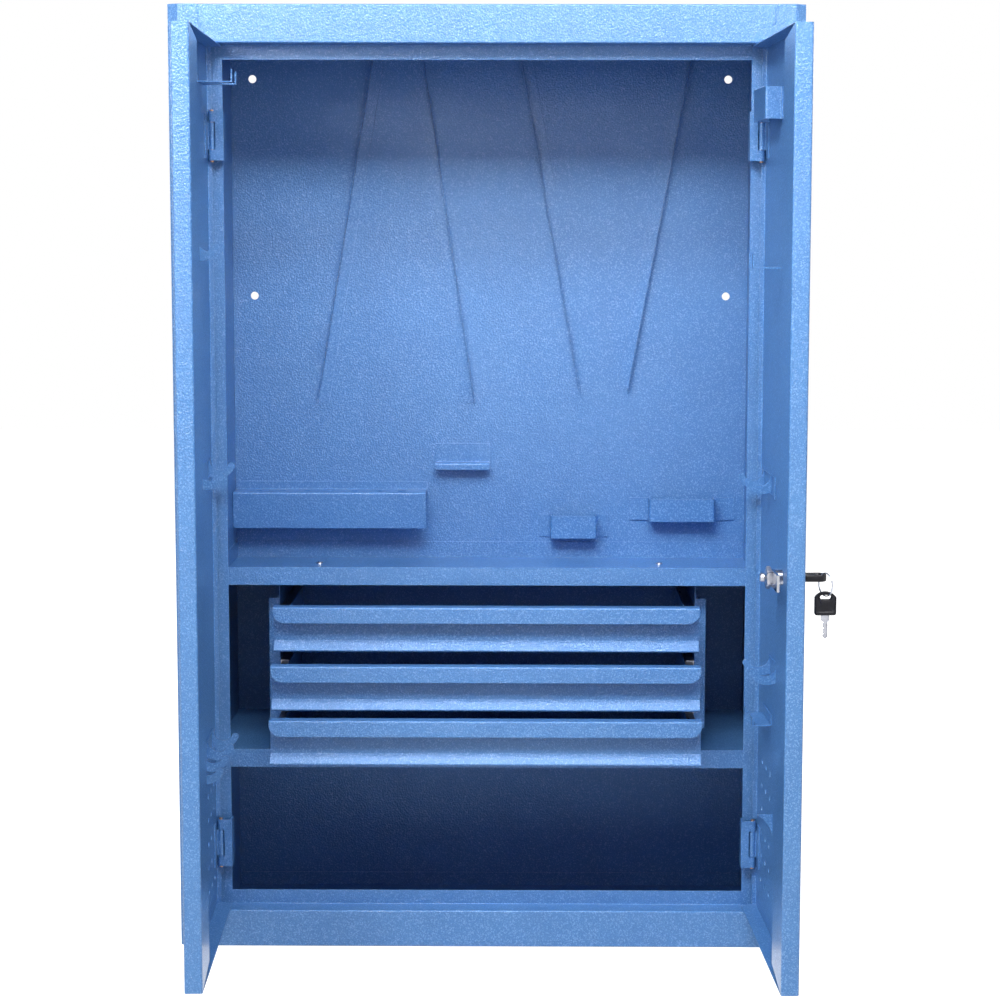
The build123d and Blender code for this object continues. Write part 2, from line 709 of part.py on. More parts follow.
def lock_plug():
    tail = CAM_GAP + CAM_THICK + LOCK_NUT_THICK
    plug = lock_rod(PLUG_RADIUS, -LOCK_HEAD_THICK, lock_end() + LOCK_HEAD_THICK + CAM_GAP)
    plug += lock_rod(TAIL_RADIUS, lock_end(), tail)
    plug -= lock_rod(CAM_SCREW_RADIUS, lock_end() + tail - CAM_SCREW_LENGTH, CAM_SCREW_LENGTH)
    half_width = KEY_SHOULDER[1] / 2 + KEYWAY_PLAY
    half_thick = KEY_BLADE[2] / 2 + KEYWAY_PLAY
    bottom = DOOR_FACE + KEY_OFFSET - KEY_BOW_LENGTH / 2 - KEY_BLADE[0] - KEYWAY_PLAY
    return plug - block(
        LOCK_ALONG - half_width,
        LOCK_ALONG + half_width,
        bottom,
        DOOR_FACE + 2 * LOCK_HEAD_THICK,
        LOCK_LEVEL - half_thick,
        LOCK_LEVEL + half_thick,
    )


def lock_cam():
    """Tongue that reaches past the free edge of the door."""
    start = lock_end() + CAM_GAP
    y = DOOR_FACE - start
    half = CAM_WIDTH / 2
    cam = block(LOCK_ALONG, LOCK_ALONG + CAM_REACH, y - CAM_THICK, y, LOCK_LEVEL - half, LOCK_LEVEL + half)
    cam += lock_rod(half, start, CAM_THICK)
    return cam - lock_rod(TAIL_RADIUS, start - SHEET, CAM_THICK + 2 * SHEET)


def lock_nut():
    start = lock_end() + CAM_GAP + CAM_THICK
    face = Plane((LOCK_ALONG, DOOR_FACE - start, LOCK_LEVEL), x_dir=(0, 0, 1), z_dir=(0, -1, 0))
    nut = extrude(face * RegularPolygon(LOCK_NUT, 6), LOCK_NUT_THICK)
    return nut - lock_rod(TAIL_RADIUS, start - SHEET, LOCK_NUT_THICK + 2 * SHEET)


def cam_screw():
    """Slotted screw in the tail of the plug."""
    start = lock_end() + CAM_GAP + CAM_THICK + LOCK_NUT_THICK + CAM_SCREW_NECK
    head = lock_rod(CAM_SCREW_HEAD, start, CAM_SCREW_THICK)
    end = DOOR_FACE - start - CAM_SCREW_THICK
    half = SHEET / 2
    slot = block(
        LOCK_ALONG - CAM_SCREW_HEAD,
        LOCK_ALONG + CAM_SCREW_HEAD,
        end,
        end + SHEET,
        LOCK_LEVEL - half,
        LOCK_LEVEL + half,
    )
    return head + lock_rod(CAM_SCREW_RADIUS, start - CAM_SCREW_LENGTH, CAM_SCREW_LENGTH) - slot


def key_blank():
    """Flat key in its own plane: bow round the origin, eye towards +x, blade towards -x."""
    end = KEY_BOW_LENGTH / 2
    side = KEY_BOW_WIDTH / 2
    outline = [
        Polyline((end - KEY_ARCH, side), (-end, side), (-end, -side), (end - KEY_ARCH, -side)),
        ThreePointArc((end - KEY_ARCH, -side), (end, 0), (end - KEY_ARCH, side)),
    ]
    eye = Pos(KEY_EYE_OFFSET, 0) * Rot(0, 0, 90) * SlotOverall(*KEY_EYE)
    grip = extrude(Pos(0, 0, -KEY_BOW_THICK / 2) * (make_face(outline) - eye), KEY_BOW_THICK)
    length, width, thick = KEY_BLADE
    root, root_width = KEY_SHOULDER
    round_end = Pos(-end - length + width / 2, 0) * Circle(width / 2)
    blade = round_end + Pos(-end - (length - width / 2) / 2, 0) * Rectangle(length - width / 2, width)
    blade += Pos(-end - root / 2, 0) * Rectangle(root, root_width)
    return grip + extrude(Pos(0, 0, -thick / 2) * blade, thick)


def ring_centre():
    """Centre of the ring in the door's frame, and the direction of its plane."""
    turn = math.radians(RING_TURN)
    level = Vector(math.sin(turn), math.cos(turn), 0)
    eye = Vector(LOCK_ALONG, DOOR_FACE + KEY_OFFSET + KEY_EYE_OFFSET, LOCK_LEVEL)
    return eye + level * RING_OUT - Vector(0, 0, RING_DROP), level


def key():
    return Pos(LOCK_ALONG, DOOR_FACE + KEY_OFFSET, LOCK_LEVEL) * Rot(0, 0, 90) * key_blank()


def key_ring():
    """Flattened wire ring."""
    centre, level = ring_centre()
    band = Circle(RING_RADIUS + RING_WIRE / 2) - Circle(RING_RADIUS - RING_WIRE / 2)
    plane = Plane(centre, x_dir=level, z_dir=level.cross(Vector(0, 0, 1)))
    return extrude(plane.offset(-RING_WIRE / 2) * band, RING_WIRE)


def spare_key():
    centre, _ = ring_centre()
    middle = centre - Vector(0, 0, RING_RADIUS + SPARE_DROP + KEY_EYE_OFFSET)
    return Plane(middle, x_dir=(0, 0, 1), z_dir=(1, 0, 0)) * key_blank()


# ---------------------------------------------------------------- drawers
def rivet_places():
    return [(side * (CHASSIS - RIVET_X), y) for side in (-1, 1) for y in RIVET_Y]


def chassis_plate():
    """Right plate that hangs from the middle shelf and carries the slides."""
    top = MIDDLE_SHELF - SHEET
    back = BACK_WALL - CHASSIS_BACK_GAP
    outer = CHASSIS + SHEET
    edge = CHASSIS_FRONT + SHEET
    plate = block(CHASSIS, outer, CHASSIS_FRONT, back, CHASSIS_BASE, top)
    plate += block(CHASSIS, outer + CHASSIS_FLANGE, CHASSIS_FRONT, edge, CHASSIS_BASE, CHASSIS_FLANGE_TOP)
    plate += block(CHASSIS - CHASSIS_HANGER, outer, CHASSIS_FRONT, back, top - SHEET, top)
    for y in RIVET_Y:
        plate -= rod(RIVET_SHANK, (CHASSIS - RIVET_X, y, top - 2 * SHEET), 3 * SHEET, (0, 0, 1))
    return plate


def rivet(x, y):
    """Button-headed rivet through the shelf and the chassis flange."""
    shank = rod(RIVET_SHANK, (x, y, MIDDLE_SHELF - 2 * SHEET), 2 * SHEET, (0, 0, 1))
    head = Pos(x, y, MIDDLE_SHELF + RIVET_HEAD / 2) * Cone(RIVET_RADIUS, RIVET_CROWN, RIVET_HEAD)
    return shank + head


def slide_member(which, level):
    """Right-hand slide member, drawer shut: 0 fixed, 1 middle, 2 on the drawer."""
    half = SLIDE_HALF - which * (SLIDE_METAL + SLIDE_PLAY)
    flange = SLIDE_FLANGES[which]
    if which == 2:
        web = CHASSIS - SLIDE
        lip = web + flange
    else:
        web = CHASSIS - which * (SLIDE_METAL + SLIDE_PLAY)
        lip = web - flange
    path = ((lip, level - half), (web, level - half), (web, level + half), (lip, level + half))
    _, other = skins([Vector(*p) for p in path], SLIDE_METAL if which < 2 else -SLIDE_METAL)
    section = make_face(Polyline(*path, *reversed(other), close=True))
    back = BACK_WALL - CHASSIS_BACK_GAP
    length = back - CHASSIS_FRONT - SHEET
    return extrude(Plane((0, back, 0), x_dir=(1, 0, 0), z_dir=(0, -1, 0)) * section, length)


def slide_pair(which, top, out):
    """Both members of a slide, moved out with the drawer."""
    level = top - DRAWER_FRONT / 2
    return [Pos(0, -out, 0) * member for member in both_sides(slide_member(which, level))]


def drawer_front(top):
    """Folded front, drawer shut: pull lip, recessed sheet and flared band at the bottom."""
    sheet_y = CHASSIS_FRONT - DRAWER_GAP - SHEET
    lip_y = sheet_y - PULL_REACH
    base = top - DRAWER_FRONT
    path = (
        (sheet_y + SHEET, base + SHEET),
        (sheet_y - BAND_REACH, base + SHEET),
        (sheet_y + SHEET, base + BAND_RISE),
        (sheet_y + SHEET, top),
        (lip_y, top),
        (lip_y, top - PULL_FACE),
    )
    half = CHASSIS + DRAWER_OVERLAP
    front = along_x(folded(*path), -half, half)
    toe = top - PULL_FACE
    corners = front.edges().filter_by(Axis.Y).filter_by_position(Axis.Z, toe - SHEET / 2, toe + SHEET / 2)
    return fillet(corners, PULL_CORNER)


def drawer_box(top):
    """Open tray behind the front, drawer shut."""
    half = CHASSIS - SLIDE
    front = CHASSIS_FRONT - DRAWER_GAP
    back = BACK_WALL - CHASSIS_BACK_GAP
    low = top - DRAWER_FRONT + BOX_ABOVE
    high = top - BOX_BELOW
    box = block(-half, half, front, back, low, high)
    inner = half - SHEET
    return box - block(-inner, inner, front + SHEET, back - SHEET, low + SHEET, high)


# ---------------------------------------------------------------- assembly
def save_carcass():
    for name, shape in (("side_panel", side_panel()), ("side_liner", side_liner())):
        right, left = both_sides(shape)
        save(f"right_{name}", right)
        save(f"left_{name}", left)
    save("header_rail", header_rail())
    save("plinth_rail", plinth_rail())
    save("roof_panel", roof_panel())
    save("floor_panel", floor_panel())
    save("back_panel", back_panel())
    save("middle_shelf", middle_shelf())
    save("lower_shelf", lower_shelf())


def save_wall_fittings():
    for number, spec in enumerate(HANGING_RAILS, start=1):
        save(f"hanging_rail_{number}", hanging_rail(*spec))
    save("long_tool_rack", long_tool_rack())
    save("centre_tool_ledge", centre_tool_ledge())
    save("small_tool_loop", tool_loop(SMALL_LOOP, SMALL_LOOP_BASE))
    save("wide_tool_loop", tool_loop(WIDE_LOOP, WIDE_LOOP_BASE))


def save_hinges():
    brackets = []
    pins = []
    for level in HINGE_LEVELS:
        brackets += both_sides(hinge_bracket(level))
        proud = TALL_PIN if level == max(HINGE_LEVELS) else PIN_OVERRUN
        pins.append(hinge_pin(level, proud))
        pins.append(mirror(hinge_pin(level, PIN_OVERRUN), about=Plane.YZ))
    save("hinge_brackets", *brackets)
    save("hinge_pins", *pins)
    for side in ("left", "right"):
        save(f"{side}_hinge_leaves", *[hang(hinge_leaf(level), side) for level in HINGE_LEVELS])


def save_doors():
    save("left_door", hang(left_door(), "left"))
    save("right_door", hang(right_door(), "right"))


def save_hooks():
    left = {
        "left_prong_hook": prong_hook(*LEFT_PRONG_HOOK),
        "left_upper_cradle": cradle(*LEFT_UPPER_CRADLE),
        "left_middle_cradle": cradle(*LEFT_MIDDLE_CRADLE),
        "left_lower_cradle": cradle(*LEFT_LOWER_CRADLE),
    }
    right = {
        "right_strap_bracket": strap_bracket(),
        "right_prong_hook": prong_hook(*RIGHT_PRONG_HOOK),
        "right_upper_cradle": cradle(*RIGHT_UPPER_CRADLE),
        "right_lower_cradle": cradle(*RIGHT_LOWER_CRADLE),
        "right_rail_bracket": prong_hook(*RIGHT_RAIL_BRACKET),
        "right_gusset": gusset(),
    }
    for name, shape in left.items():
        save(name, on_door(shape, "left"))
    for name, shape in right.items():
        save(name, on_door(shape, "right"))


def save_lock():
    pieces = {
        "lock_housing": lock_housing(),
        "lock_plug": lock_plug(),
        "lock_cam": lock_cam(),
        "lock_nut": lock_nut(),
        "cam_screw": cam_screw(),
        "key": key(),
        "key_ring": key_ring(),
        "spare_key": spare_key(),
    }
    for name, shape in pieces.items():
        save(name, hang(shape, "right"))


def save_drawers():
    right, left = both_sides(chassis_plate())
    save("right_chassis_plate", right)
    save("left_chassis_plate", left)
    save("chassis_rivets", *[rivet(x, y) for x, y in rivet_places()])
    fixed = []
    names = ("upper", "middle", "lower")
    for name, top, out in zip(names, DRAWER_TOPS, DRAWER_OUT):
        fixed += slide_pair(0, top, 0)
        save(f"{name}_middle_slides", *slide_pair(1, top, out / 2))
        save(f"{name}_drawer_slides", *slide_pair(2, top, out))
        save(f"{name}_drawer_box", Pos(0, -out, 0) * drawer_box(top))
        save(f"{name}_drawer_front", Pos(0, -out, 0) * drawer_front(top))
    save("fixed_slides", *fixed)


save_carcass()
save_wall_fittings()
save_hinges()
save_doors()
save_hooks()
save_lock()
save_drawers()
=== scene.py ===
import json
import math

import bmesh
import bpy
from mathutils import Euler, Matrix, Vector


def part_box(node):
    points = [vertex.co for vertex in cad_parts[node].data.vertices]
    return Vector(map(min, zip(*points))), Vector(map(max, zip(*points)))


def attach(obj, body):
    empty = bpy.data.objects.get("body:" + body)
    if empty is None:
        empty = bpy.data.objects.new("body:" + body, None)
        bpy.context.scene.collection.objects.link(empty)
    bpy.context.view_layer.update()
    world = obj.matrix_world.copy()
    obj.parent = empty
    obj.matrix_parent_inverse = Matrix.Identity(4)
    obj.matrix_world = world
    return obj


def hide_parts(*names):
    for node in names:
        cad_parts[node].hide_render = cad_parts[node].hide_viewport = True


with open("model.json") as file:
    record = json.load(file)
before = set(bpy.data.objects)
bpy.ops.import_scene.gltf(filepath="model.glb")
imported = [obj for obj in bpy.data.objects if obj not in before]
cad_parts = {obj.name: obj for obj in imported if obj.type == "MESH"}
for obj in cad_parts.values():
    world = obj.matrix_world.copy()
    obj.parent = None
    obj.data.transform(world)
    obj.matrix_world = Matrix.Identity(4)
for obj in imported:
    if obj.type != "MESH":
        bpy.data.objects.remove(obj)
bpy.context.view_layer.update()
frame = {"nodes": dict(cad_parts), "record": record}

NODES = frame["nodes"]

# ---------------------------------------------------------------- camera, in metres and degrees
CAMERA_PLACE = (0.0445, -2.46555, 0.77355)
CAMERA_PITCH = 6.320
CAMERA_YAW = 0.373
CAMERA_ROLL = 0.082
CAMERA_LENS = 80.88
CAMERA_SHIFT = (-0.01404, -0.02607)
CAMERA_SENSOR = 36.0  # millimetres
CAMERA_REACH = 50.0

# ---------------------------------------------------------------- paint: linear colours, scales per metre
PAINT = (0.065, 0.202, 0.465)
PAINT_DEEP = (0.050, 0.164, 0.395)
PAINT_PALE = (0.090, 0.240, 0.530)
# pale colour painted into scattered cells as glints of the coat
PAINT_GLINT = (0.138, 0.308, 0.600)
PAINT_DIM = (0.93, 0.94, 0.96)  # the coat's slow drift darkens it by this much
PEBBLE_SCALE = 500.0
PEBBLE_BLEND = 0.4
PEBBLE_DEPTH = 0.0009
GLINT_CELL_SCALE = 880.0
GLINT_SHARE = (0.66, 0.80)  # cells brighter than this take the pale painted glints
GRAIN_SCALE = 1000.0
FLAKE_SCALE = 1300.0
FINE_DEPTH = 0.0005
WAVE_SCALE = 26.0
WAVE_DEPTH = 0.0025
PAINT_ROUGH = (0.34, 0.50)
EDGE_ROUND = 0.0006  # how far the shading rounds a folded edge
EDGE_SAMPLES = 4

# a mix node's sockets for colours
MIX_FACTOR, MIX_FIRST, MIX_SECOND, MIX_RESULT = 0, 6, 7, 2

# ---------------------------------------------------------------- floor and world
FLOOR_SIZE = 12.0
FLOOR_SHADE = 0.60
FLOOR_GLOW = 0.86  # how white the floor itself shows beside the cabinet
FLOOR_NEAR = 0.45  # metres from the middle of the cabinet, where it starts to turn fully white
FLOOR_FAR = 0.90
FLOOR_DROP = 0.0005  # keeps it clear of the cabinet's base
AMBIENT = 0.012
WHITE = (1.0, 1.0, 1.0, 1.0)

# ---------------------------------------------------------------- lamps
# (name, place, aim, size, watts, whether only reflections show it)
LAMPS = (
    ("high_left", (-1.8, -2.8, 3.6), (0, 0, 0.5), (1.0, 1.0), 72.0, False),
    ("steep", (0.1, -0.95, 1.85), (0, -0.12, 0.3), (1.5, 0.16), 14.0, False),
    ("near", (0, -1.4, 1.7), (0, 0, 0.6), (1.0, 0.3), 25.0, False),
    ("middle", (0, -1.1, 0.95), (0, 0.1, 0.45), (0.7, 0.1), 0.5, False),
    ("left", (-1.9, -1.7, 1.1), (0, 0, 0.5), (0.8, 1.0), 11.5, False),
    ("right", (1.9, -1.7, 1.1), (0, 0, 0.5), (0.8, 1.0), 7.5, False),
    ("low_right", (1.3, -2.2, 0.35), (0, 0, 0.3), (0.5, 0.3), 1.5, False),
    ("back_left", (-1.9, 1.9, 1.6), (0, 0, 0.5), (1.2, 1.2), 30.0, False),
    ("back_right", (1.9, 1.9, 1.6), (0, 0, 0.5), (1.2, 1.2), 30.0, False),
    ("glitter", (0.1, -0.95, 1.6), (0, -0.12, 0.3), (1.3, 0.16), 17.0, True),
    ("sheen_left", (-0.60, -1.3, 1.13), (-0.3, 0, 0.95), (0.2, 0.25), 7.0, True),
    ("sheen_corner", (-0.40, -0.60, 1.05), (-0.3, -0.1, 0.98), (0.05, 0.08), 0.8, True),
    ("sheen_front", (0.62, -2.45, 1.15), (0.1, 0, 0.9), (0.3, 0.5), 7.0, True),
)

# ---------------------------------------------------------------- shaped pieces, in metres
SMOOTH_ANGLE = 35.0
ROUND_STEPS = 48  # sides of the turned pieces
ARC_STEPS = 12  # steps in a quarter or half turn of the key's outlines
CORNER_STEPS = 6
WIRE_STEPS = 12
RIVET_STEPS = 32
DOOR_OPEN = 92.22  # degrees the right door stands open
KEY_TURN = 90.0
DOOR_AXIS = (0.2865, -0.1008, 0.0)
LOCK_ALONG = 0.2534  # from the hinge axis
LOCK_FACE = 0.0065
LOCK_LEVEL = 0.4415
KEY_OFFSET = 0.0133
BOW_LENGTH = 0.0228
BOW_WIDTH = 0.0207
BOW_ARCH = 0.0054
BOW_THICK = 0.0060
BOW_CORNER = 0.0022
BOW_STEPS = 96
# (share of the way from the outline to the eye, depth below the grip's face)
BOW_PROFILE = (
    (0.00, 0.0013),
    (0.03, 0.0005),
    (0.08, 0.0),
    (0.19, 0.0),
    (0.25, 0.0007),
    (0.64, 0.0007),
    (0.71, 0.0),
    (0.90, 0.0),
    (0.96, 0.0003),
    (1.00, 0.0009),
)
EYE_LONG = 0.0108
EYE_WIDE = 0.0044
EYE_OFFSET = 0.0061
ROOT_LENGTH = 0.0050
ROOT_WIDTH = 0.0074
BLADE_LENGTH = 0.0223
BLADE_WIDTH = 0.0046
BLADE_THICK = 0.0020
BLADE_SUNK = 0.0010
BLADE_STEP = 0.0009
BLADE_PEAK = 0.0002
BLADE_TIP = 0.0018
GROOVE_SHARE = 0.6  # of the blade's half width, at most
BLADE_CUTS = (0.0012, 0.0006, 0.0015, 0.0009, 0.0013)
GROOVE_WIDE = 0.0009
GROOVE_DEEP = 0.0006
RING_RADIUS = 0.0110
RING_WIRE = 0.00045
RING_PITCH = 0.00092
RING_STEPS = 72
RING_TURN = 64.0
RING_OUT = 0.0082
RING_DROP = 0.0059
SPARE_DROP = 0.0009
HEAD = 0.0100
HEAD_THICK = 0.0015
BARREL = 0.0080
BARREL_END = 0.0256
BORE = 0.00555
THREAD_START = 0.0020
THREAD_PITCH = 0.0012
THREAD_DEEP = 0.0005
NUT = 0.0110
NUT_THICK = 0.0046
NUT_START = 0.0283
NUT_CHAMFER = 0.0007
TAIL = 0.00402
SCREW_START = 0.0345
SCREW_HEAD = 0.00425
SCREW_BASE = 0.0026
SCREW_THICK = 0.0040
SCREW_SLOT = 0.0010
SCREW_SHANK = 0.0020
WELD_X = 0.2955
WELD_Z = 0.9880
WELD_HALF = (0.0028, 0.0105)
WELD_PROUD = 0.0004
WELD_SUNK = 0.0002  # foot of the pad, inside the sheet
WELD_STEPS = 40
CARCASS_FRONT = -0.1140
RIVET = 0.0040
RIVET_HEAD = 0.0016
RIVET_SHANK = 0.0016
DOME_STEPS = 7
SCREW_PITCH = 0.0006
SCREW_THREADS = 8


# ---------------------------------------------------------------- node helpers
def blank(owner, output):
    """Node tree of a material or world, emptied, and its output node."""
    owner.use_nodes = True
    tree = owner.node_tree
    tree.nodes.clear()
    return tree, tree.nodes.new("ShaderNodeOutput" + output)


def material(name):
    mat = bpy.data.materials.new(name)
    tree, out = blank(mat, "Material")
    shader = add(tree, "BsdfPrincipled")
    link(tree, shader.outputs["BSDF"], out.inputs["Surface"])
    return mat, tree, shader


def add(tree, kind, **values):
    """New shader node, with its input sockets or else its properties set."""
    node = tree.nodes.new("ShaderNode" + kind)
    for key, value in values.items():
        if key in node.inputs:
            node.inputs[key].default_value = value
        else:
            setattr(node, key, value)
    return node


def link(tree, source, target):
    tree.links.new(source, target)


def grey(value):
    return (value, value, value)


def ramp(tree, source, stops):
    """Colour of a value, from (place, colour) stops."""
    node = add(tree, "ValToRGB")
    elements = node.color_ramp.elements
    while len(elements) > len(stops):
        elements.remove(elements[-1])
    while len(elements) < len(stops):
        elements.new(1.0)
    for element, (place, colour) in zip(elements, stops):
        element.position = place
        element.color = (*colour, 1.0)
    link(tree, source, node.inputs["Fac"])
    return node.outputs["Color"]


def coordinates(tree, stretch=(1, 1, 1)):
    """Place on the object in metres, stretched along its axes."""
    place = add(tree, "TexCoord")
    scale = add(tree, "Mapping", Scale=stretch)
    link(tree, place.outputs["Object"], scale.inputs["Vector"])
    return scale.outputs["Vector"]


def noise(tree, where, scale, detail, rough):
    node = add(tree, "TexNoise", Scale=scale, Detail=detail, Roughness=rough)
    link(tree, where, node.inputs["Vector"])
    return node.outputs["Fac"]


def bump(tree, height, strength, distance, below=None):
    node = add(tree, "Bump", Strength=strength, Distance=distance)
    link(tree, height, node.inputs["Height"])
    if below is not None:
        link(tree, below, node.inputs["Normal"])
    return node.outputs["Normal"]


# ---------------------------------------------------------------- materials
def rounded(tree):
    """Normal that rounds sharp edges in the shading."""
    node = add(tree, "Bevel", Radius=EDGE_ROUND)
    node.samples = EDGE_SAMPLES
    return node.outputs["Normal"]


def mixed(tree, first, second, blend, factor):
    """Colour node that mixes two colours; each of the three values is a socket or a plain value."""
    node = add(tree, "Mix", data_type="RGBA", blend_type=blend)
    for index, value in ((MIX_FACTOR, factor), (MIX_FIRST, first), (MIX_SECOND, second)):
        if isinstance(value, bpy.types.NodeSocket):
            link(tree, value, node.inputs[index])
        else:
            node.inputs[index].default_value = value
    return node.outputs[MIX_RESULT]


def hammertone(name, strength=1.0):
    """Hammered powder coat: pebbled clear skin over a blue, with pale painted glints flecked into its
    colour.
    """
    mat, tree, shader = material(name)
    where = coordinates(tree)
    soft = rounded(tree)
    cells = add(tree, "TexVoronoi", Scale=PEBBLE_SCALE, feature="SMOOTH_F1", Smoothness=PEBBLE_BLEND)
    link(tree, where, cells.inputs["Vector"])
    glint_cells = add(tree, "TexVoronoi", Scale=GLINT_CELL_SCALE, feature="F1")
    link(tree, where, glint_cells.inputs["Vector"])
    grain = noise(tree, where, GRAIN_SCALE, 2.0, 0.6)
    flakes = noise(tree, where, FLAKE_SCALE, 1.0, 0.5)
    waves = noise(tree, where, WAVE_SCALE, 2.0, 0.5)

    pebbles = bump(tree, cells.outputs["Distance"], 0.9 * strength, PEBBLE_DEPTH, soft)
    skin = bump(tree, grain, 0.9 * strength, FINE_DEPTH, pebbles)
    body = bump(tree, cells.outputs["Distance"], 0.55 * strength, FINE_DEPTH, soft)
    link(tree, skin, shader.inputs["Coat Normal"])
    link(tree, bump(tree, waves, 0.05, WAVE_DEPTH, body), shader.inputs["Normal"])

    speck = ramp(tree, flakes, [(0.30, PAINT_DEEP), (0.50, PAINT), (0.70, PAINT_PALE)])
    # painted highlight: scattered cells take a pale colour that stands in for the coat's glints
    glint_mask = ramp(tree, glint_cells.outputs["Color"], [(GLINT_SHARE[0], grey(0.0)), (GLINT_SHARE[1], grey(1.0))])
    glinted = mixed(tree, speck, (*PAINT_GLINT, 1.0), "MIX", glint_mask)
    drift = ramp(tree, waves, [(0.35, PAINT_DIM), (0.65, grey(1.0))])
    link(tree, mixed(tree, glinted, drift, "MULTIPLY", 1.0), shader.inputs["Base Color"])
    rough = ramp(tree, flakes, [(0.30, grey(PAINT_ROUGH[0])), (0.70, grey(PAINT_ROUGH[1]))])
    link(tree, rough, shader.inputs["Roughness"])
    shader.inputs["Metallic"].default_value = 0.05
    shader.inputs["Specular IOR Level"].default_value = 0.18
    shader.inputs["Coat Weight"].default_value = 0.6
    shader.inputs["Coat Roughness"].default_value = 0.09
    return mat


def metal(name, colour, rough_low, rough_high, stretch, scale):
    """Bare metal with fine streaks along the axis that the stretch shortens."""
    mat, tree, shader = material(name)
    where = coordinates(tree, stretch)
    streaks = noise(tree, where, scale, 4.0, 0.6)
    tint = ramp(tree, streaks, [(0.3, tuple(c * 0.86 for c in colour)), (0.7, colour)])
    link(tree, tint, shader.inputs["Base Color"])
    rough = ramp(tree, streaks, [(0.3, grey(rough_low)), (0.7, grey(rough_high))])
    link(tree, rough, shader.inputs["Roughness"])
    link(tree, bump(tree, streaks, 0.25, 0.0001), shader.inputs["Normal"])
    shader.inputs["Metallic"].default_value = 1.0
    return mat


def black_plastic(name):
    """Moulded plastic with a fine grain and faint scuffs."""
    mat, tree, shader = material(name)
    where = coordinates(tree)
    grain = noise(tree, where, 1400.0, 2.0, 0.5)
    scuffs = noise(tree, where, 160.0, 4.0, 0.7)
    tint = ramp(tree, scuffs, [(0.4, (0.004, 0.004, 0.007)), (0.75, (0.012, 0.012, 0.018))])
    link(tree, tint, shader.inputs["Base Color"])
    rough = ramp(tree, scuffs, [(0.35, grey(0.42)), (0.7, grey(0.58))])
    link(tree, rough, shader.inputs["Roughness"])
    link(tree, bump(tree, grain, 0.3, 0.0001), shader.inputs["Normal"])
    shader.inputs["Specular IOR Level"].default_value = 0.22
    return mat


MATERIALS = {
    "carcass_paint": hammertone("carcass_hammertone"),
    "door_paint": hammertone("door_hammertone"),
    "drawer_paint": hammertone("drawer_hammertone"),
    "hinge_paint": hammertone("hinge_hammertone", 0.7),
    "fitting_paint": hammertone("fitting_hammertone", 0.7),
    "zinc": metal("zinc_plate", (0.44, 0.45, 0.50), 0.24, 0.40, (1, 0.12, 1), 260.0),
    "pin_copper": metal("copper_wash", (0.50, 0.30, 0.20), 0.26, 0.40, (1, 1, 0.15), 300.0),
    "lock_chrome": metal("polished_lock", (0.50, 0.52, 0.58), 0.12, 0.24, (1, 1, 1), 220.0),
    "key_black": black_plastic("black_key_plastic"),
}

SLOT_OF = {piece["node"]: piece["material_slot"] for piece in frame["record"]["subparts"]}
for node_name, node in NODES.items():
    for index in range(max(1, len(node.material_slots))):
        if not node.material_slots:
            node.data.materials.append(MATERIALS[SLOT_OF[node_name]])
        node.material_slots[index].material = MATERIALS[SLOT_OF[node_name]]


# ---------------------------------------------------------------- pieces shaped as meshes
def door_place(along, out, level):
    """Matrix of the right door's frame at a point: x along the door from its hinge, y out of its face."""
    turn = math.radians(180 + DOOR_OPEN)
    spin = Matrix.Rotation(turn, 4, "Z")
    return Matrix.Translation(DOOR_AXIS) @ spin @ Matrix.Translation((along, out, level))


def piece(name, verts, faces, place, body, slot, nodes, smooth=True):
    """Mesh object that rides a body and takes a finish; it stands for CAD nodes where any are given."""
    mesh = bpy.data.meshes.new(name)
    mesh.from_pydata([Vector(v) for v in verts], [], faces)
    shape = bmesh.new()
    shape.from_mesh(mesh)
    bmesh.ops.recalc_face_normals(shape, faces=shape.faces)
    shape.to_mesh(mesh)
    shape.free()
    mesh.materials.append(MATERIALS[slot])
    for polygon in mesh.polygons:
        polygon.use_smooth = smooth
    if smooth:
        mesh.set_sharp_from_angle(angle=math.radians(SMOOTH_ANGLE))
    obj = bpy.data.objects.new(name, mesh)
    obj.matrix_world = place
    bpy.context.scene.collection.objects.link(obj)
    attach(obj, body)
    if nodes:
        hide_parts(*nodes)


def loft(loops, closed, start):
    """Faces between equal loops of points in order, capped at both ends unless the last meets the first."""
    count = len(loops[0])
    verts = [point for loop in loops for point in loop]
    faces = []
    pairs = [(i, i + 1) for i in range(len(loops) - 1)]
    if closed:
        pairs.append((len(loops) - 1, 0))
    for a, b in pairs:
        for j in range(count):
            k = (j + 1) % count
            corners = (a * count + j, a * count + k, b * count + k, b * count + j)
            faces.append(tuple(start + n for n in corners))
    if not closed:
        faces.append(tuple(start + j for j in reversed(range(count))))
        faces.append(tuple(start + (len(loops) - 1) * count + j for j in range(count)))
    return verts, faces


def joined(*shells):
    """One mesh from several closed shells, each a list of loops and whether it closes on itself."""
    verts, faces = [], []
    for loops, closed in shells:
        more, skin = loft(loops, closed, len(verts))
        verts += more
        faces += skin
    return verts, faces


def full_turn(count):
    return [2 * math.pi * i / count for i in range(count)]


def circle(radius, height, count=ROUND_STEPS):
    """Loop of points round the y axis."""
    return [(radius * math.cos(a), height, radius * math.sin(a)) for a in full_turn(count)]


def turned(profile, closed=False):
    """Loops of a body of revolution round the y axis from (radius, height) pairs."""
    return [circle(radius, height) for radius, height in profile], closed


def reach(outline, centre, angle):
    """Distance from a centre to a closed outline along an angle."""
    ray = Vector((math.cos(angle), math.sin(angle)))
    best = 0.0
    for a, b in zip(outline, outline[1:] + outline[:1]):
        edge = Vector(b) - Vector(a)
        gap = Vector(a) - Vector(centre)
        cross = ray.x * edge.y - ray.y * edge.x
        if abs(cross) < 1e-12:
            continue
        far = (gap.x * edge.y - gap.y * edge.x) / cross
        share = (gap.x * ray.y - gap.y * ray.x) / cross
        if -1e-9 <= share <= 1 + 1e-9:
            best = max(best, far)
    return best


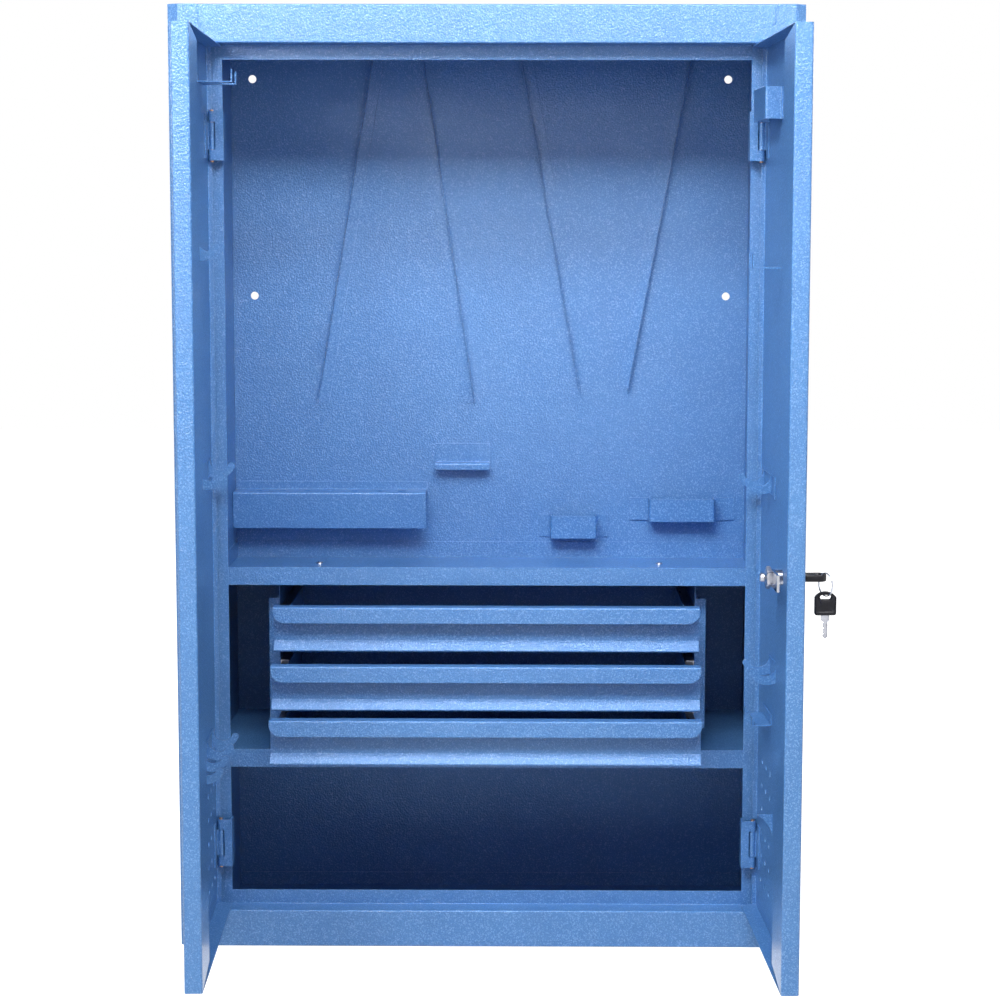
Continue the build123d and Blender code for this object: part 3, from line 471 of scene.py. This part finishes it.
def arc(centre, radius, start, sweep, steps):
    """Points on an arc, both ends included."""
    angles = [start + sweep * i / steps for i in range(steps + 1)]
    return [(centre[0] + radius * math.cos(a), centre[1] + radius * math.sin(a)) for a in angles]


def bow_outline():
    """Square shoulders towards the blade and an arched end, round the origin."""
    half, side = BOW_LENGTH / 2, BOW_WIDTH / 2
    spring = half - BOW_ARCH
    radius = (side * side + BOW_ARCH * BOW_ARCH) / (2 * BOW_ARCH)
    middle = half - radius
    lean = math.asin(side / radius)
    arch = arc((middle, 0.0), radius, -lean, 2 * lean, 2 * ARC_STEPS)
    inset = -half + BOW_CORNER
    low = side - BOW_CORNER
    upper = arc((inset, low), BOW_CORNER, math.pi / 2, math.pi / 2, CORNER_STEPS)
    lower = arc((inset, -low), BOW_CORNER, math.pi, math.pi / 2, CORNER_STEPS)
    return arch + [(spring, side)] + upper + lower + [(spring, -side)]


def slot_outline():
    """Slot with round ends, across the grip."""
    across = EYE_WIDE / 2
    run = EYE_LONG / 2 - across
    upper = arc((EYE_OFFSET, run), across, 0.0, math.pi, ARC_STEPS)
    lower = arc((EYE_OFFSET, -run), across, math.pi, math.pi, ARC_STEPS)
    return upper + lower


def key_bow():
    """Moulded grip: rounded edges, a raised rim and a sunk panel, pierced by the slot for the ring."""
    centre = (EYE_OFFSET, 0.0)
    outer, inner = bow_outline(), slot_outline()
    spans = [(reach(outer, centre, a), reach(inner, centre, a), a) for a in full_turn(BOW_STEPS)]
    top = [(share, BOW_THICK / 2 - sink) for share, sink in BOW_PROFILE]
    rings = top + [(share, -height) for share, height in reversed(top)]
    loops = []
    for share, height in rings:
        loop = []
        for far, near, angle in spans:
            r = far + (near - far) * share
            loop.append((centre[0] + r * math.cos(angle), r * math.sin(angle), height))
        loops.append(loop)
    return joined((loops, True))


def key_blade():
    """Cut and grooved blade with a wider root, running towards -x from the grip."""
    start = -BOW_LENGTH / 2
    half, root = BLADE_WIDTH / 2, ROOT_WIDTH / 2
    stations = [(start + BLADE_SUNK, root, root), (start - ROOT_LENGTH, root, root)]
    x = start - ROOT_LENGTH - BLADE_STEP
    stations.append((x, half, half))
    for depth in BLADE_CUTS:
        stations.append((x - BLADE_STEP, half, half - depth))
        stations.append((x - 2 * BLADE_STEP, half, half - depth))
        x -= 3 * BLADE_STEP
        stations.append((x, half, half - BLADE_PEAK))
    stations.append((start - BLADE_LENGTH + BLADE_TIP, half, half - BLADE_PEAK))
    stations.append((start - BLADE_LENGTH, BLADE_TIP / 4, BLADE_TIP / 4))
    thick = BLADE_THICK / 2
    floor = thick - GROOVE_DEEP
    loops = []
    for x, low, high in stations:
        groove = min(GROOVE_WIDE, low * GROOVE_SHARE)
        loops.append(
            [
                (x, -low, -thick),
                (x, high, -thick),
                (x, high, thick),
                (x, -low + 2 * groove, thick),
                (x, -low + 1.7 * groove, floor),
                (x, -low + 0.9 * groove, floor),
                (x, -low + 0.6 * groove, thick),
                (x, -low, thick),
            ]
        )
    return joined((loops, False))


def split_ring():
    """Two flat turns of round wire with a short step between them."""
    steps = 2 * RING_STEPS
    loops = []
    for i in range(steps + 1):
        turn = 2 * math.pi * i / RING_STEPS
        step = min(max(12 * (i / steps - 0.5) + 0.5, 0.0), 1.0)
        lift = RING_PITCH * (step * step * (3 - 2 * step) - 0.5)
        middle = Vector((RING_RADIUS * math.cos(turn), RING_RADIUS * math.sin(turn), lift))
        outward = Vector((math.cos(turn), math.sin(turn), 0))
        loop = []
        for a in full_turn(WIRE_STEPS):
            away = math.cos(a) * outward + math.sin(a) * Vector((0, 0, 1))
            loop.append(tuple(middle + RING_WIRE * away))
        loops.append(loop)
    return joined((loops, False))


def threaded_barrel():
    """Lock body, bored through: domed head on the door, threaded barrel behind; y runs out of the door."""
    outside = [(BORE, HEAD_THICK), (HEAD - 0.0022, HEAD_THICK), (HEAD - 0.0008, HEAD_THICK * 0.72)]
    outside += [(HEAD, HEAD_THICK * 0.3), (HEAD, 0.0), (BARREL, 0.0)]
    y = -THREAD_START
    while y > -(BARREL_END - THREAD_PITCH):
        outside += [(BARREL, y), (BARREL - THREAD_DEEP, y - THREAD_PITCH / 2)]
        y -= THREAD_PITCH
    outside += [(BARREL, y), (BARREL - 0.0006, -BARREL_END), (BORE, -BARREL_END)]
    return joined(turned(outside, True))


def chamfered_nut():
    """Hexagon nut with turned corners, bored through; y runs out of the door."""
    flat = NUT * math.cos(math.pi / 6)
    face = flat + 0.0001
    levels = [(0.0, face), (-NUT_CHAMFER, NUT), (-NUT_THICK + NUT_CHAMFER, NUT), (-NUT_THICK, face)]
    loops = []
    for y, limit in levels:
        loop = []
        for a in full_turn(ROUND_STEPS):
            away = (a + math.pi / 6) % (math.pi / 3) - math.pi / 6
            hexagon = flat / math.cos(math.pi / 6 - abs(away))
            r = min(hexagon, limit)
            loop.append((r * math.sin(a), y, r * math.cos(a)))
        loops.append(loop)
    for y in (-NUT_THICK, 0.0):
        loops.append([(x, height, z) for z, height, x in circle(TAIL, y)])
    return joined((loops, True))


def slotted_screw():
    """Pan head with a driver slot, and its threaded shank."""
    half = SCREW_SLOT / 2
    edge = math.acos(half / SCREW_HEAD)
    angles = [-edge + 2 * edge * i / 16 for i in range(17)]
    rim = [(SCREW_HEAD, -SCREW_BASE), (SCREW_HEAD, -SCREW_THICK + 0.0009)]
    rim.append((SCREW_HEAD - 0.0007, -SCREW_THICK))
    shells = []
    for sign in (-1, 1):
        loops = [[(sign * max(r * math.cos(a), half), y, r * math.sin(a)) for a in angles] for r, y in rim]
        shells.append((loops, False))
    base = [(SCREW_HEAD - 0.0005, 0.0), (SCREW_HEAD, -0.0005), (SCREW_HEAD, -SCREW_BASE - 0.00002)]
    shells.append(turned(base))
    shank = []
    for i in range(SCREW_THREADS):
        crest = 0.0001 + SCREW_PITCH * i
        shank += [(SCREW_SHANK, crest), (SCREW_SHANK - SCREW_PITCH * 5 / 12, crest + SCREW_PITCH / 2)]
    shells.append(turned(shank))
    return joined(*shells)


def domed_rivets(low, high):
    """Button heads at the four corners of the rivets' box."""
    shells = []
    foot = high.z - RIVET_HEAD
    dome = [(RIVET_SHANK, low.z), (RIVET_SHANK, foot), (RIVET, foot)]
    rises = [0.5 * math.pi * i / DOME_STEPS for i in range(1, DOME_STEPS)]
    dome += [(RIVET * math.cos(a), foot + RIVET_HEAD * math.sin(a)) for a in rises]
    for x in (low.x + RIVET, high.x - RIVET):
        for y in (low.y + RIVET, high.y - RIVET):
            loops = []
            for radius, level in dome:
                loops.append([(x + p[0], y + p[2], level) for p in circle(radius, 0.0, RIVET_STEPS)])
            shells.append((loops, False))
    return joined(*shells)


def rounder(value, power):
    """Value from -1 to 1 pushed outwards, which squares off an ellipse."""
    return math.copysign(abs(value) ** power, value)


def ground_welds():
    """Low pads left where the header was welded to the side panels and ground back."""
    half_wide, half_tall = WELD_HALF
    shells = []
    for side in (-1, 1):
        loops = []
        for size, proud in ((1.0, -WELD_SUNK), (1.0, 0.0), (0.82, WELD_PROUD), (0.5, WELD_PROUD * 1.15)):
            loop = []
            for a in full_turn(WELD_STEPS):
                across = rounder(math.cos(a), 0.7) * half_wide * size
                tall = rounder(math.sin(a), 0.6) * (half_tall - half_wide * (1 - size))
                loop.append((side * WELD_X + across, CARCASS_FRONT - proud, WELD_Z + tall))
            loops.append(loop)
        shells.append((loops, False))
    return joined(*shells)


def basis(x, y, z, origin):
    """Matrix with these axes at this origin."""
    return Matrix.Translation(origin) @ Matrix((x, y, z)).transposed().to_4x4()


def build_pieces():
    lock = door_place(LOCK_ALONG, LOCK_FACE, LOCK_LEVEL)
    quarter = Matrix.Rotation(math.radians(KEY_TURN), 4, "Z")
    turned_key = door_place(LOCK_ALONG, LOCK_FACE + KEY_OFFSET, LOCK_LEVEL) @ quarter
    nut = lock @ Matrix.Translation((0, -NUT_START, 0))
    screw = lock @ Matrix.Translation((0, -SCREW_START, 0))

    door = door_place(0, 0, 0)
    swing = math.radians(RING_TURN)
    level = Vector((math.sin(swing), math.cos(swing), 0))
    up = Vector((0, 0, 1))
    eye = Vector((LOCK_ALONG, LOCK_FACE + KEY_OFFSET + EYE_OFFSET, LOCK_LEVEL))
    middle = eye + level * RING_OUT - up * RING_DROP
    ring = door @ basis(level, up, level.cross(up), middle)
    below = middle - up * (RING_RADIUS + SPARE_DROP + EYE_OFFSET)
    spare = door @ basis(up, Vector((0, -1, 0)), Vector((1, 0, 0)), below)

    still = Matrix.Identity(4)
    low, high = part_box("chassis_rivets")
    piece("key_grip", *key_bow(), turned_key, "lock_rotor", "key_black", ["key"])
    piece("key_steel", *key_blade(), turned_key, "lock_rotor", "zinc", ["key"], smooth=False)
    piece("spare_grip", *key_bow(), spare, "hanging_key", "key_black", ["spare_key"])
    piece("spare_steel", *key_blade(), spare, "hanging_key", "zinc", ["spare_key"], smooth=False)
    piece("wire_ring", *split_ring(), ring, "hanging_key", "lock_chrome", ["key_ring"])
    piece("threaded_barrel", *threaded_barrel(), lock, "right_door", "lock_chrome", ["lock_housing"])
    piece("chamfered_nut", *chamfered_nut(), nut, "lock_rotor", "zinc", ["lock_nut"])
    piece("slotted_screw", *slotted_screw(), screw, "lock_rotor", "zinc", ["cam_screw"])
    piece("ground_welds", *ground_welds(), still, "cabinet", "carcass_paint", [])
    piece("domed_rivets", *domed_rivets(low, high), still, "cabinet", "zinc", ["chassis_rivets"])


# ---------------------------------------------------------------- stage, light and camera
def seen_white(tree):
    """One for rays that the eye, mirrors and glass send out, none for the light that falls on things."""
    path = add(tree, "LightPath")
    seen = path.outputs["Is Camera Ray"]
    for kind in ("Is Glossy Ray", "Is Transmission Ray"):
        both = add(tree, "Math", operation="ADD", use_clamp=True)
        link(tree, seen, both.inputs[0])
        link(tree, path.outputs[kind], both.inputs[1])
        seen = both.outputs[0]
    return seen


def floor_material():
    """Pale floor: white away from the cabinet, with the cabinet's soft shadow round its foot."""
    mat = bpy.data.materials.new("pale_floor")
    tree, out = blank(mat, "Material")
    matt = add(tree, "BsdfDiffuse", Color=(*grey(FLOOR_SHADE), 1))
    glow = add(tree, "Emission", Color=WHITE)
    place = add(tree, "TexCoord")
    far = add(tree, "VectorMath", operation="LENGTH")
    link(tree, place.outputs["Object"], far.inputs[0])
    spread = add(tree, "MapRange")
    spread.inputs["From Min"].default_value = FLOOR_NEAR
    spread.inputs["From Max"].default_value = FLOOR_FAR
    spread.inputs["To Min"].default_value = FLOOR_GLOW
    spread.inputs["To Max"].default_value = 1.0
    link(tree, far.outputs["Value"], spread.inputs["Value"])
    strength = add(tree, "Math", operation="MULTIPLY")
    link(tree, seen_white(tree), strength.inputs[0])
    link(tree, spread.outputs["Result"], strength.inputs[1])
    link(tree, strength.outputs[0], glow.inputs["Strength"])
    both = add(tree, "AddShader")
    link(tree, matt.outputs[0], both.inputs[0])
    link(tree, glow.outputs[0], both.inputs[1])
    link(tree, both.outputs[0], out.inputs["Surface"])
    return mat


def build_floor():
    mesh = bpy.data.meshes.new("floor")
    half = FLOOR_SIZE / 2
    corners = [(-half, -half, 0), (half, -half, 0), (half, half, 0), (-half, half, 0)]
    mesh.from_pydata(corners, [], [(0, 1, 2, 3)])
    mesh.materials.append(floor_material())
    floor = bpy.data.objects.new("floor", mesh)
    floor.location.z = -FLOOR_DROP
    bpy.context.scene.collection.objects.link(floor)


def build_world():
    """Plain white for the eye and for reflections, and only a little light from it."""
    world = bpy.data.worlds.new("studio")
    bpy.context.scene.world = world
    tree, out = blank(world, "World")
    dim = add(tree, "Background", Color=WHITE, Strength=AMBIENT)
    white = add(tree, "Background", Color=WHITE, Strength=1.0)
    mix = add(tree, "MixShader")
    link(tree, seen_white(tree), mix.inputs["Fac"])
    link(tree, dim.outputs[0], mix.inputs[1])
    link(tree, white.outputs[0], mix.inputs[2])
    link(tree, mix.outputs[0], out.inputs["Surface"])


def build_lamps():
    for name, place, aim, size, watts, gloss_only in LAMPS:
        lamp = bpy.data.lights.new(name, "AREA")
        lamp.shape = "RECTANGLE"
        lamp.size, lamp.size_y = size
        lamp.energy = watts
        box = bpy.data.objects.new(name, lamp)
        box.location = place
        box.rotation_euler = (Vector(aim) - Vector(place)).to_track_quat("-Z", "Y").to_euler()
        box.visible_diffuse = not gloss_only
        bpy.context.scene.collection.objects.link(box)


def build_camera():
    lens = bpy.data.cameras.new("camera")
    lens.lens = CAMERA_LENS
    lens.sensor_width = CAMERA_SENSOR
    lens.shift_x, lens.shift_y = CAMERA_SHIFT
    lens.clip_end = CAMERA_REACH
    camera = bpy.data.objects.new("camera", lens)
    tilt = Euler((math.radians(90 - CAMERA_PITCH), 0, math.radians(CAMERA_YAW))).to_matrix()
    roll = Matrix.Rotation(math.radians(CAMERA_ROLL), 3, "Z")
    camera.matrix_world = Matrix.Translation(CAMERA_PLACE) @ (tilt @ roll).to_4x4()
    bpy.context.scene.collection.objects.link(camera)
    bpy.context.scene.camera = camera


build_pieces()
build_floor()
build_world()
build_lamps()
build_camera()
bpy.context.scene.view_settings.view_transform = "Standard"
